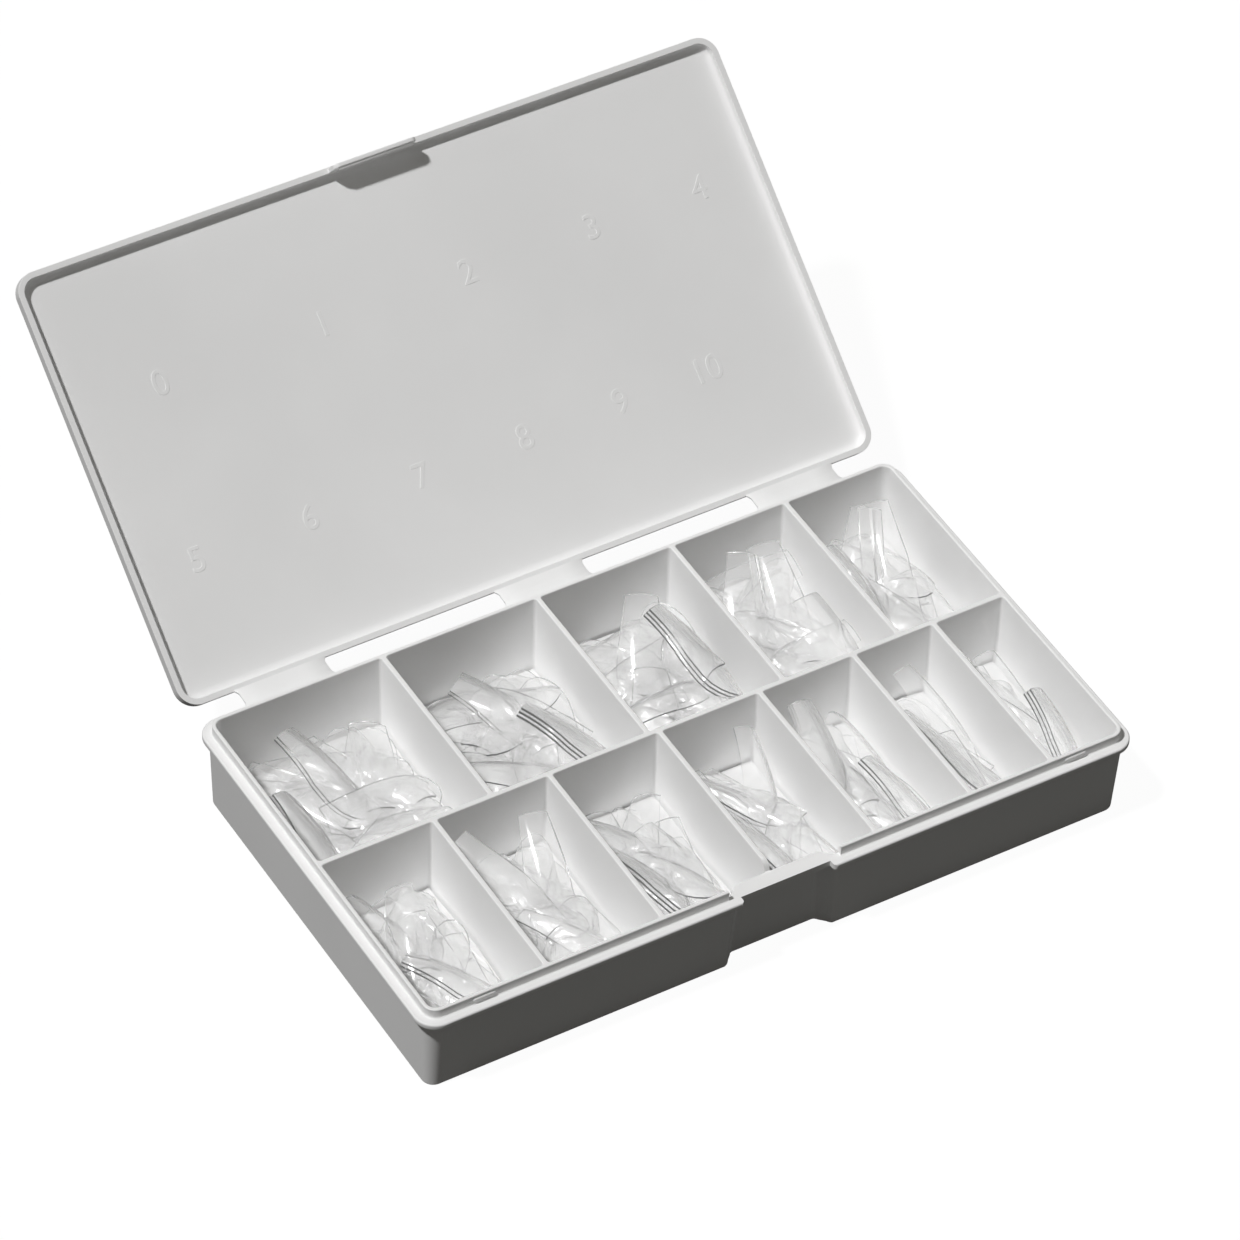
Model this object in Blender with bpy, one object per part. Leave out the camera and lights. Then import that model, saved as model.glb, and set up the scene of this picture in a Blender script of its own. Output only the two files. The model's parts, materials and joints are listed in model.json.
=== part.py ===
"""Sorting tray: a shallow box with a hinged lid, moulded in one piece, and its loose clear tips.

The origin is the centre of the tray's underside. X runs along the tray, Y runs back towards the
hinge and Z is up. The lid stands open, as it is left in use. All lengths are in metres.
"""

import math
import random

import bmesh
import bpy
from mathutils import Matrix, Vector

# Tray shell
TRAY_LENGTH = 0.1698  # foot of the outer wall, along X
TRAY_WIDTH = 0.0952  # foot of the outer wall, along Y
TRAY_CORNER_RADIUS = 0.0028  # plan corner at the foot of the outer wall
RIM_HEIGHT = 0.0232  # top of the raised lip
LIP_HEIGHT = 0.0024  # how far the lip stands above the flange
WALL_THICKNESS = 0.0013  # outer wall, at the floor
OUTER_DRAFT = 0.0008  # the outer face leans out by this much
INNER_DRAFT = 0.0006  # the inner face leans out by this much
FLOOR_THICKNESS = 0.0012
FLOOR_FILLET = 0.0006
FOOT_RADIUS = 0.0005  # round between wall and underside
FLANGE_REACH = 0.0023  # beyond the foot of the outer wall
FLANGE_THICKNESS = 0.0014
FLANGE_EDGE_RADIUS = 0.0004
LIP_OUTSET = 0.0002  # outer face of the lip, outside the foot of the wall
LIP_FILLET = 0.00035  # foot of the lip
LIP_EDGE_RADIUS = 0.00025

# Inner walls: relative widths of the compartments, from left to right
BACK_COMPARTMENTS = (40.7, 37.0, 32.6, 27.8, 25.5)
FRONT_COMPARTMENTS = (26.4, 26.7, 25.8, 23.7, 22.4, 19.1, 17.1)
DIVIDER_THICKNESS = 0.0012
DIVIDER_EDGE_RADIUS = 0.0003
FRONT_ROW_DEPTH = 0.0458  # clear depth of the front compartments at the floor

# Latch recess in the middle of the front wall
RECESS_MOUTH = 0.0253  # width at the outer wall
RECESS_BACK = 0.0219  # width at its back
RECESS_DEPTH = 0.0029
RECESS_DRAFT = 0.0007  # its sides close in by this much up to the flange
RECESS_CORNER_RADIUS = 0.001
RECESS_WALL = 0.001  # wall round the recess
RECESS_ROOF = 0.0015  # ledge left above it
LIP_BREAK = 0.0273  # width where the lip is left out above the recess

# Snap nubs on the outer face of the front lip
NUB_SPREAD = 0.1445  # from one nub to the other
NUB_LENGTH = 0.0055
NUB_HEIGHT = 0.0007
NUB_REACH = 0.0002
NUB_DROP = 0.0013  # centre of the nub below the top of the lip

# Lid
LID_CLEARANCE = 0.00035  # between the lip and the lid's skirt, all round
LID_SEAT_GAP = 0.0005  # between the closed lid's rim and the flange
LID_DEPTH = 0.00305  # rim to outer face
LID_PANEL = 0.0008
SKIRT_THICKNESS = 0.00135
LID_FILLET_WIDTH = 0.0016  # soft inner corner between skirt and panel
LID_FILLET_HEIGHT = 0.001
LID_EDGE_RADIUS = 0.0006

# Hinge line and webs
LID_OPEN_ANGLE = math.radians(141.3)  # from closed to where the lid stands
HINGE_SET_BACK = 0.0021  # hinge line behind the flange
HINGE_DROP = 0.00055  # hinge line below the flange's top
WEB_WIDTH = 0.0208
WEB_SPREAD = 0.0638  # from the middle web to each outer one
WEB_THICKNESS = 0.0005
WEB_FLARE = 0.0022  # extra half width at the lid
WEB_TRAY_FLARE = 0.0008  # extra half width at the tray
WEB_LAND = 0.0004  # web's middle plane, in from the edges it joins

# Latch tab
TAB_WIDTH = 0.0205
TAB_REACH = 0.004  # beyond the lid's rim
TAB_THICKNESS = 0.0011
TAB_CLEARANCE = 0.00025  # between the tab and the ledge it passes
TAB_SIDE_CLEARANCE = 0.0007
TAB_CORNER_RADIUS = 0.0015
TAB_EDGE_RADIUS = 0.0003
BEAD_REACH = 0.00065  # snap bead on the tab's inner face
BEAD_HEIGHT = 0.001
BEAD_CLEARANCE = 0.0002  # bead below the ledge when the lid is shut

# Loose tips
TIP_LENGTH = 0.027
TIP_WIDEST = 0.0125  # in the first compartment
TIP_NARROWEST = 0.0078  # in the last one
TIP_CROWN = 0.25  # how far a tip curves from side to side, against its width
TIP_BOW = 0.0015  # how far a tip curves from end to end
TIP_STEP = 0.0009  # between two tips that lie in one another
TIP_RISE = 14.0  # steepest lie of a tip that was just dropped in, in degrees
TIP_ROLL = 25.0
TIP_LIFT = 0.0036  # highest such tip's lowest point above the heap's foot
TIP_AREA = 0.0002  # floor for each of them
BED_HEIGHT = 0.0028  # tips that lie flat under the others
HEAP_CELL = 0.0022  # facets of a heap's surface
HEAP_CLEARANCE = 0.0005  # between a heap and the walls round it
HEAP_HEADROOM = 0.0055  # between the tallest tip and the top of the lip
# Tips that lean on a wall or on others: place across and along the compartment, heading, rise and
# roll in degrees, and how many lie in one another
LEANING_TIPS = (
    ((0.5, 0.7, 108, 21, 30, 2), (0.05, 0.15, 95, 16, 45, 3), (0.85, 0.2, 165, 6, 0, 1)),
    ((0.1, 0.85, 200, 22, 5, 1), (0.6, 0.65, 125, 20, 12, 2), (0.85, 0.15, 118, 14, 45, 3)),
    ((0.55, 0.95, 62, 26, 8, 1), (0.3, 0.6, 15, 8, 15, 2), (0.95, 0.55, 105, 20, 40, 3)),
    ((0.15, 0.8, 62, 26, 15, 1), (0.65, 0.85, 78, 27, -12, 1), (0.8, 0.2, 95, 26, 10, 2)),
    ((0.45, 0.95, 55, 27, 10, 1), (0.75, 0.75, 72, 26, -20, 1), (0.15, 0.5, 95, 22, 35, 2)),
    ((0.3, 0.6, 68, 22, -35, 1), (0.9, 0.1, 125, 10, 30, 2)),
    ((0.9, 0.95, 75, 28, 0, 1), (0.3, 0.7, 115, 24, -32, 2), (0.75, 0.05, 52, 4, 10, 1)),
    ((0.5, 0.95, 128, 8, 20, 2), (0.1, 0.2, 115, 14, 45, 3), (0.95, 0.4, 105, 16, 10, 1)),
    ((0.3, 0.9, 125, 8, 30, 2), (0.95, 0.85, 75, 23, 30, 1), (0.4, 0.3, 110, 14, 40, 2)),
    ((0.35, 0.8, 84, 26, 20, 3), (0.9, 0.3, 100, 14, 35, 2)),
    ((0.2, 0.45, 105, 16, 45, 4), (0.75, 0.8, 100, 25, 5, 1)),
    ((0.3, 0.95, 95, 20, 15, 2), (0.8, 0.15, 84, 16, 40, 3)),
)

# Shared
PIECE_GAP = 0.0003  # between pieces that meet
CORNER_STEPS = 5
FILLET_STEPS = 3
MARGIN = 0.004  # how far a cutter runs past what it cuts

FLANGE_TOP = RIM_HEIGHT - LIP_HEIGHT
HALF_LENGTH = TRAY_LENGTH / 2
HALF_WIDTH = TRAY_WIDTH / 2
LIP_TOP_INSET = WALL_THICKNESS - INNER_DRAFT
LID_OUTER_OFFSET = LIP_OUTSET + LID_CLEARANCE + SKIRT_THICKNESS
LID_RIM = FLANGE_TOP + LID_SEAT_GAP
HINGE_Y = HALF_WIDTH + FLANGE_REACH + HINGE_SET_BACK
HINGE_Z = FLANGE_TOP - HINGE_DROP
MOULDING = "moulding"
CLEAR_TIP = "clear_tip"


def material(name, colour, roughness, alpha=1.0):
    made = bpy.data.materials.new(name)
    made.use_nodes = True
    shader = made.node_tree.nodes["Principled BSDF"]
    shader.inputs["Base Color"].default_value = (*colour, 1.0)
    shader.inputs["Roughness"].default_value = roughness
    shader.inputs["Metallic"].default_value = 0.0
    shader.inputs["Alpha"].default_value = alpha
    return made


def add_object(name, mesh_builder, finish, parent=None):
    """Turns a bmesh into an object, shaded smooth except at its sharp edges."""
    mesh = bpy.data.meshes.new(name)
    mesh_builder.to_mesh(mesh)
    mesh_builder.free()
    mesh.materials.append(bpy.data.materials[finish])
    mesh.shade_smooth()
    mesh.set_sharp_from_angle(angle=math.radians(35))
    made = bpy.data.objects.new(name, mesh)
    bpy.context.scene.collection.objects.link(made)
    made.parent = parent
    return made


def combine(target, other, operation):
    """Cuts or joins with an object that is only a tool, so it isn't one of the pieces."""
    other.hide_render = True
    other.display_type = "WIRE"
    step = target.modifiers.new(other.name, "BOOLEAN")
    step.operation = operation
    step.solver = "EXACT"
    step.object = other


def loft(rings):
    """A closed body through rings of equal count, with a flat cap on the first and the last."""
    body = bmesh.new()
    loops = [[body.verts.new(point) for point in ring] for ring in rings]
    for first, second in zip(loops, loops[1:]):
        for i in range(len(first)):
            j = (i + 1) % len(first)
            body.faces.new((first[i], first[j], second[j], second[i]))
    body.faces.new(list(reversed(loops[0])))
    body.faces.new(loops[-1])
    return body


def block(low, high, edge_radius=0.0):
    """A box between two corners, with its edges rounded if a radius is given."""
    size = Vector(high) - Vector(low)
    centre = (Vector(high) + Vector(low)) / 2
    body = bmesh.new()
    place = Matrix.Translation(centre) @ Matrix.Diagonal((*size, 1.0))
    bmesh.ops.create_cube(body, size=1.0, matrix=place)
    if edge_radius:
        bmesh.ops.bevel(
            body, geom=body.edges[:], offset=edge_radius, segments=2, profile=0.5, affect="EDGES"
        )
    return body


def arc(centre, radii, start, end, steps=FILLET_STEPS):
    """Points on an elliptic arc in the plane, from one angle in degrees to another."""
    angles = [math.radians(start + (end - start) * i / steps) for i in range(steps + 1)]
    return [(centre[0] + radii[0] * math.cos(a), centre[1] + radii[1] * math.sin(a)) for a in angles]


def outline(offset, z):
    """The tray's plan outline at a height, moved out from the foot of the wall by an offset."""
    radius = TRAY_CORNER_RADIUS + offset
    x = HALF_LENGTH + offset - radius
    y = HALF_WIDTH + offset - radius
    corners = ((x, y, 0), (-x, y, 90), (-x, -y, 180), (x, -y, 270))
    ring = []
    for cx, cy, start in corners:
        ring += arc((cx, cy), (radius, radius), start, start + 90, CORNER_STEPS)
    return [(px, py, z) for px, py in ring]


def inner_inset(z):
    """How far the inner face of the outer wall lies inside the foot of the wall, at a height."""
    return WALL_THICKNESS - INNER_DRAFT * z / RIM_HEIGHT


def tray_profile():
    """(offset, height) points from the underside, out, up over flange and lip, and in to the floor."""
    under = FLANGE_TOP - FLANGE_THICKNESS
    flange_edge = FLANGE_REACH - FLANGE_EDGE_RADIUS
    lip_outer = LIP_OUTSET - LIP_EDGE_RADIUS
    lip_inner = -LIP_TOP_INSET + LIP_EDGE_RADIUS
    edge = (LIP_EDGE_RADIUS, LIP_EDGE_RADIUS)
    lip_round = RIM_HEIGHT - LIP_EDGE_RADIUS
    floor_inset = -inner_inset(FLOOR_THICKNESS + FLOOR_FILLET)
    points = arc((-FOOT_RADIUS, FOOT_RADIUS), (FOOT_RADIUS, FOOT_RADIUS), 270, 360)
    points += [(OUTER_DRAFT, under), (FLANGE_REACH, under)]
    points += arc(
        (flange_edge, FLANGE_TOP - FLANGE_EDGE_RADIUS),
        (FLANGE_EDGE_RADIUS, FLANGE_EDGE_RADIUS),
        0,
        90,
        2,
    )
    points += [(LIP_OUTSET + LIP_FILLET, FLANGE_TOP), (LIP_OUTSET, FLANGE_TOP + LIP_FILLET)]
    points += arc((lip_outer, lip_round), edge, 0, 90, 2)
    points += arc((lip_inner, lip_round), edge, 90, 180, 2)
    points += arc(
        (floor_inset - FLOOR_FILLET, FLOOR_THICKNESS + FLOOR_FILLET),
        (FLOOR_FILLET, FLOOR_FILLET),
        0,
        -90,
    )
    return points


def recess_draft(z):
    """How far the sides of the recess have closed in at a height."""
    return RECESS_DRAFT * z / FLANGE_TOP


def recess_outline(wall, front, z):
    """Plan outline of the latch recess at a height, grown by a wall and open towards the front."""
    grow = wall - recess_draft(z)
    back = -HALF_WIDTH + RECESS_DEPTH + grow
    slope = (RECESS_MOUTH - RECESS_BACK) / 2 / RECESS_DEPTH
    half_back = RECESS_BACK / 2 + grow - slope * grow
    half_front = half_back + slope * (back - front)
    flank = math.degrees(math.atan(slope))
    radius = RECESS_CORNER_RADIUS + grow
    corner_x = half_back - radius * (math.sqrt(1 + slope * slope) - slope)
    corner = arc((corner_x, back - radius), (radius, radius), flank, 90, CORNER_STEPS)
    points = [(half_front, front)] + corner
    points += [(-x, y) for x, y in reversed(points)]
    return [(x, y, z) for x, y in points]


def add_tray_shell():
    """Floor, outer walls, flange and lip in one shell, with the latch recess and the snap nubs."""
    shell = add_object("tray_shell", loft([outline(s, z) for s, z in tray_profile()]), MOULDING)
    roof = FLANGE_TOP - RECESS_ROOF
    front = -HALF_WIDTH
    inside = front + WALL_THICKNESS / 2
    outside = front - FLANGE_REACH - MARGIN
    housing = loft(
        [recess_outline(RECESS_WALL, inside, z) for z in (FLOOR_THICKNESS / 2, RIM_HEIGHT - LIP_HEIGHT / 2)]
    )
    combine(shell, add_object("recess_housing", housing, MOULDING), "UNION")
    recess = loft([recess_outline(0.0, outside, z) for z in (-MARGIN, roof)])
    combine(shell, add_object("recess_cut", recess, MOULDING), "DIFFERENCE")
    lip_break = block(
        (-LIP_BREAK / 2, front - FLANGE_REACH / 2, FLANGE_TOP),
        (LIP_BREAK / 2, housing_back(0.0) + MARGIN, RIM_HEIGHT + MARGIN),
    )
    combine(shell, add_object("lip_break", lip_break, MOULDING), "DIFFERENCE")
    tab_way = TAB_WIDTH / 2 + TAB_SIDE_CLEARANCE
    ledge_front = front - LID_OUTER_OFFSET + TAB_THICKNESS + TAB_CLEARANCE
    flange_cut = block((-tab_way, outside, roof - MARGIN), (tab_way, ledge_front, FLANGE_TOP + MARGIN))
    combine(shell, add_object("flange_cut", flange_cut, MOULDING), "DIFFERENCE")
    lip_face = front - LIP_OUTSET
    nub_z = RIM_HEIGHT - NUB_DROP
    for side, name in ((-1, "nub_left"), (1, "nub_right")):
        x = side * NUB_SPREAD / 2
        nub = block(
            (x - NUB_LENGTH / 2, lip_face - NUB_REACH, nub_z - NUB_HEIGHT / 2),
            (x + NUB_LENGTH / 2, lip_face + NUB_REACH, nub_z + NUB_HEIGHT / 2),
            NUB_REACH * 0.8,
        )
        combine(shell, add_object(name, nub, MOULDING), "UNION")


def compartment_edges(shares):
    """Left and right faces of each compartment in a row, for its relative widths."""
    inner = TRAY_LENGTH - 2 * LIP_TOP_INSET
    clear = inner - DIVIDER_THICKNESS * (len(shares) - 1)
    edges = []
    left = -inner / 2
    for share in shares:
        right = left + clear * share / sum(shares)
        edges.append((left, right))
        left = right + DIVIDER_THICKNESS
    return edges


def divider_middles(shares):
    """Middle plane of each divider in a row."""
    return [right + DIVIDER_THICKNESS / 2 for left, right in compartment_edges(shares)[:-1]]


def wall_section(top):
    """(side, height) points round an inner wall's section, which stands just clear of the floor."""
    half = DIVIDER_THICKNESS / 2
    bottom = FLOOR_THICKNESS + PIECE_GAP
    radii = (DIVIDER_EDGE_RADIUS, DIVIDER_EDGE_RADIUS)
    edge = half - DIVIDER_EDGE_RADIUS
    points = [(-half, bottom), (half, bottom)]
    points += arc((edge, top - DIVIDER_EDGE_RADIUS), radii, 0, 90, 2)
    points += arc((-edge, top - DIVIDER_EDGE_RADIUS), radii, 90, 180, 2)
    return points


def add_wall(name, stations, place):
    """An inner wall through stations (run, top), where run gives the distance for a height."""
    rings = []
    for run, top in stations:
        rings.append([place(run(z), side, z) for side, z in wall_section(top)])
    add_object(name, loft(rings), MOULDING)


def middle_wall_face():
    """Front face of the middle wall."""
    return -HALF_WIDTH + WALL_THICKNESS + FRONT_ROW_DEPTH


def housing_back(z):
    """Back face of the wall round the latch recess, at a height."""
    return -HALF_WIDTH + RECESS_DEPTH + RECESS_WALL - recess_draft(z)


def meets_recess(low, high):
    """Whether a stretch along X reaches the wall round the latch recess."""
    half = RECESS_MOUTH / 2 + RECESS_WALL
    return low < half and high > -half


def add_middle_wall():
    middle = middle_wall_face() + DIVIDER_THICKNESS / 2
    ends = [
        (lambda z, side=side: side * (HALF_LENGTH - inner_inset(z) - PIECE_GAP), RIM_HEIGHT)
        for side in (-1, 1)
    ]
    add_wall("middle_wall", ends, lambda run, side, z: (run, middle + side, z))


def add_dividers():
    front_end = middle_wall_face() - PIECE_GAP
    back_start = middle_wall_face() + DIVIDER_THICKNESS + PIECE_GAP
    for number, x in enumerate(divider_middles(BACK_COMPARTMENTS), 1):
        stations = [
            (lambda z: back_start, RIM_HEIGHT),
            (lambda z: HALF_WIDTH - inner_inset(z) - PIECE_GAP, RIM_HEIGHT),
        ]
        add_wall(f"back_divider_{number}", stations, lambda run, side, z, x=x: (x - side, run, z))
    for number, x in enumerate(divider_middles(FRONT_COMPARTMENTS), 1):
        if meets_recess(x - DIVIDER_THICKNESS / 2, x + DIVIDER_THICKNESS / 2):
            stations = []
            for angle in (0, 30, 60, 90):
                back = PIECE_GAP + LIP_HEIGHT * (1 - math.cos(math.radians(angle)))
                top = FLANGE_TOP + LIP_HEIGHT * math.sin(math.radians(angle))
                stations.append((lambda z, back=back: housing_back(z) + back, top))
        else:
            stations = [(lambda z: -HALF_WIDTH + inner_inset(z) + PIECE_GAP, RIM_HEIGHT)]
        stations.append((lambda z: front_end, RIM_HEIGHT))
        add_wall(f"front_divider_{number}", stations, lambda run, side, z, x=x: (x - side, run, z))


def from_hinge(points):
    """Moves points given for the shut lid so that they are measured from the hinge line."""
    return [(x, y - HINGE_Y, z - HINGE_Z) for x, y, z in points]


def lid_profile():
    """(offset, height) points of the shut lid, from its inner panel over the skirt to its top."""
    top = LID_RIM + LID_DEPTH
    panel = top - LID_PANEL
    inner = LID_OUTER_OFFSET - SKIRT_THICKNESS
    edge = (LID_EDGE_RADIUS, LID_EDGE_RADIUS)
    points = arc(
        (inner - LID_FILLET_WIDTH, panel - LID_FILLET_HEIGHT),
        (LID_FILLET_WIDTH, LID_FILLET_HEIGHT),
        90,
        0,
        4,
    )
    points += [(inner, LID_RIM), (LID_OUTER_OFFSET, LID_RIM)]
    points += arc((LID_OUTER_OFFSET - LID_EDGE_RADIUS, top - LID_EDGE_RADIUS), edge, 0, 90)
    return points


def add_lid(hinge):
    """Panel and skirt in one shell."""
    rings = [from_hinge(outline(offset, z)) for offset, z in lid_profile()]
    add_object("lid", loft(rings), MOULDING, hinge)


def tab_section(reach, bead):
    """(y, height) points round the latch tab's section, for how far it reaches and its bead."""
    outer = -HALF_WIDTH - LID_OUTER_OFFSET
    inner = outer + TAB_THICKNESS
    top = LID_RIM - PIECE_GAP
    end = LID_RIM - reach
    squeeze = reach / TAB_REACH
    bead_top = LID_RIM - (RECESS_ROOF + LID_SEAT_GAP + BEAD_CLEARANCE) * squeeze
    bead_low = bead_top - BEAD_HEIGHT * squeeze
    edge = (TAB_EDGE_RADIUS, TAB_EDGE_RADIUS)
    points = arc((outer + TAB_EDGE_RADIUS, end + TAB_EDGE_RADIUS), edge, 180, 270, 2)
    points += arc((inner - TAB_EDGE_RADIUS, end + TAB_EDGE_RADIUS), edge, 270, 360, 2)
    points += [(inner, bead_low)]
    points += arc((inner, (bead_low + bead_top) / 2), (bead, (bead_top - bead_low) / 2), -60, 60, 4)
    points += [(inner, bead_top), (inner, top), (outer, top)]
    return points


def add_latch_tab(hinge):
    """A tab on the lid's free edge; its bead snaps in under the ledge above the recess."""
    half = TAB_WIDTH / 2
    turns = [math.radians(angle) for angle in (0, 30, 60, 90)]
    left = []
    for turn in turns:
        x = -half + TAB_CORNER_RADIUS * (1 - math.cos(turn))
        reach = TAB_REACH - TAB_CORNER_RADIUS * (1 - math.sin(turn))
        bead = BEAD_REACH * max(0.1, math.sin(turn))
        left.append((x, reach, bead))
    right = [(-x, reach, bead) for x, reach, bead in reversed(left)]
    rings = []
    for x, reach, bead in left + right:
        rings.append(from_hinge([(x, y, z) for y, z in tab_section(reach, bead)]))
    add_object("latch_tab", loft(rings), MOULDING, hinge)


def opened(y, z):
    """Where a point of the shut lid's side view stands with the lid open."""
    turn = Matrix.Rotation(-LID_OPEN_ANGLE, 2)
    swung = turn @ Vector((y - HINGE_Y, z - HINGE_Z))
    return Vector((swung.x + HINGE_Y, swung.y + HINGE_Z))


def add_webs():
    """The three living-hinge webs, from the flange's back edge to the lid's rim."""
    clear = PIECE_GAP + WEB_THICKNESS / 4
    start = Vector((HALF_WIDTH + FLANGE_REACH + PIECE_GAP, FLANGE_TOP - WEB_LAND))
    end = opened(HALF_WIDTH + LID_OUTER_OFFSET + clear, LID_RIM + WEB_LAND)
    along = (end - start).normalized()
    lift = Vector((-along.y, along.x)) * WEB_THICKNESS / 2
    stations = ((0.0, WEB_TRAY_FLARE), (0.2, 0.0), (0.4, 0.0), (0.7, WEB_FLARE * 0.35), (1.0, WEB_FLARE))
    for name, middle in (("left", -WEB_SPREAD), ("middle", 0.0), ("right", WEB_SPREAD)):
        rings = []
        for share, flare in stations:
            point = start.lerp(end, share)
            low, high = point - lift, point + lift
            half = WEB_WIDTH / 2 + flare
            left, right = middle - half, middle + half
            rings.append([(left, *low), (left, *high), (right, *high), (right, *low)])
        add_object(f"hinge_web_{name}", loft(rings), MOULDING)


def lean_tip(low, high, width, share, lift, angles):
    """A tip's turn and middle, moved until it lies wholly inside the heap; None if it can't."""
    heading, rise, roll = [math.radians(angle) for angle in angles]
    turn = Matrix.Rotation(heading, 3, "Z") @ Matrix.Rotation(-rise, 3, "Y") @ Matrix.Rotation(roll, 3, "X")
    reach = [turn @ tip_point(width, u, v) for u in (-1, 0, 1) for v in (-0.8, 0, 0.8)]
    middle = []
    for k in range(2):
        first = low[k] - min(point[k] for point in reach)
        last = high[k] - max(point[k] for point in reach)
        if first > last:
            return None
        middle.append(min(max(low[k] + (high[k] - low[k]) * share[k], first), last))
    middle.append(low[2] + lift - min(point.z for point in reach))
    if middle[2] + max(point.z for point in reach) > high[2]:
        return None
    return turn, Vector(middle)


def tip_point(width, u, v):
    """A point of a tip that lies flat; u and v run from -1 to 1 along and across it."""
    return Vector((u * TIP_LENGTH / 2, v * width / 2, -TIP_BOW * u * u - TIP_CROWN * width * v * v))


def scatter_tips(low, high, width, leaning, chance):
    """The turn and middle of each tip in a heap: first those that lean, then those dropped in."""
    tips = []
    for across, along, heading, rise, roll, stack in leaning:
        tip = lean_tip(low, high, width, (across, along), TIP_STEP, (heading, rise, roll))
        if tip:
            turn, middle = tip
            tips += [(turn, middle + turn.col[2] * TIP_STEP * k) for k in range(stack)]
    wanted = round((high[0] - low[0]) * (high[1] - low[1]) / TIP_AREA)
    for attempt in range(wanted * 12):
        share = chance.random(), chance.random()
        lift = chance.uniform(0, TIP_LIFT)
        rise, roll = chance.uniform(-TIP_RISE, TIP_RISE), chance.uniform(-TIP_ROLL, TIP_ROLL)
        tip = lean_tip(low, high, width, share, lift, (chance.uniform(0, 360), rise, roll))
        if tip and wanted:
            tips.append(tip)
            wanted -= 1
    return tips


def heap_height(x, y, tips, width, bottom, top):
    """Height of the heap's surface: the highest tip there, or the bed of tips below them."""
    height = bottom + BED_HEIGHT
    for turn, middle in tips:
        off = Vector((x, y)) - middle.xy
        normal, bulge = turn.col[2], 0.0
        for step in range(3):
            rise = (bulge - normal.xy.dot(off)) / normal.z
            spot = turn.transposed() @ Vector((off.x, off.y, rise))
            u, v = 2 * spot.x / TIP_LENGTH, 2 * spot.y / width
            bulge = tip_point(width, u, v).z
        if abs(u) < 1 and abs(v) < 1:
            height = max(height, middle.z + rise)
    return min(height, top)


def into_round_corner(x, y, low, high, radius):
    """Moves a point of a rectangle into the same rectangle with round corners."""
    centre = (Vector(low[:2]) + Vector(high[:2])) / 2
    off = Vector((x, y)) - centre
    beyond = Vector([abs(off[k]) - (high[k] - low[k]) / 2 + radius for k in range(2)])
    if min(beyond) <= 0:
        return x, y
    pull = beyond * (1 - max(beyond) / beyond.length)
    return x - math.copysign(pull.x, off.x), y - math.copysign(pull.y, off.y)


def add_heap(name, edges, depths, number):
    """The loose tips of one compartment, settled into one solid that stands just off the floor."""
    clear = HEAP_CLEARANCE
    width = TIP_WIDEST + (TIP_NARROWEST - TIP_WIDEST) * number / (len(LEANING_TIPS) - 1)
    low = (edges[0] + clear, depths[0] + clear, FLOOR_THICKNESS + PIECE_GAP)
    high = (edges[1] - clear, depths[1] - clear, RIM_HEIGHT - HEAP_HEADROOM)
    tips = scatter_tips(low, high, width, LEANING_TIPS[number], random.Random(number))
    columns = max(2, round((high[0] - low[0]) / HEAP_CELL))
    rows = max(2, round((high[1] - low[1]) / HEAP_CELL))
    body = bmesh.new()
    grid = []
    for i in range(columns + 1):
        line = []
        for j in range(rows + 1):
            x = low[0] + (high[0] - low[0]) * i / columns
            y = low[1] + (high[1] - low[1]) * j / rows
            x, y = into_round_corner(x, y, low, high, TRAY_CORNER_RADIUS - WALL_THICKNESS)
            line.append(body.verts.new((x, y, heap_height(x, y, tips, width, low[2], high[2]))))
        grid.append(line)
    for i in range(columns):
        for j in range(rows):
            body.faces.new((grid[i][j], grid[i + 1][j], grid[i + 1][j + 1], grid[i][j + 1]))
    rim = [grid[i][0] for i in range(columns)] + [grid[columns][j] for j in range(rows)]
    rim += [grid[i][rows] for i in range(columns, 0, -1)] + [grid[0][j] for j in range(rows, 0, -1)]
    foot = [body.verts.new((vert.co.x, vert.co.y, low[2])) for vert in rim]
    for k, vert in enumerate(rim):
        following = (k + 1) % len(rim)
        body.faces.new((foot[k], foot[following], rim[following], vert))
    body.faces.new(list(reversed(foot)))
    add_object(name, body, CLEAR_TIP)


def add_heaps():
    front = -HALF_WIDTH + WALL_THICKNESS
    ends = HALF_LENGTH - WALL_THICKNESS
    face = middle_wall_face()
    back_depths = (face + DIVIDER_THICKNESS, HALF_WIDTH - WALL_THICKNESS)
    for number, (left, right) in enumerate(compartment_edges(BACK_COMPARTMENTS)):
        edges = (max(left, -ends), min(right, ends))
        add_heap(f"back_tips_{number + 1}", edges, back_depths, number)
    for number, (left, right) in enumerate(compartment_edges(FRONT_COMPARTMENTS)):
        edges = (max(left, -ends), min(right, ends))
        start = housing_back(0.0) if meets_recess(left, right) else front
        add_heap(f"front_tips_{number + 1}", edges, (start, face), len(BACK_COMPARTMENTS) + number)


def main():
    for old in list(bpy.data.objects):
        bpy.data.objects.remove(old, do_unlink=True)
    material(MOULDING, (0.68, 0.69, 0.67), 0.42)
    material(CLEAR_TIP, (0.78, 0.8, 0.79), 0.15, 0.5)
    hinge = bpy.data.objects.new("lid_hinge", None)
    hinge.location = (0, HINGE_Y, HINGE_Z)
    hinge.rotation_euler = (-LID_OPEN_ANGLE, 0, 0)
    bpy.context.scene.collection.objects.link(hinge)
    add_tray_shell()
    add_middle_wall()
    add_dividers()
    add_lid(hinge)
    add_latch_tab(hinge)
    add_webs()
    add_heaps()


main()
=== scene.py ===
import json
import math
import random

import bpy
import numpy as np
from mathutils import Matrix, Vector


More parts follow.
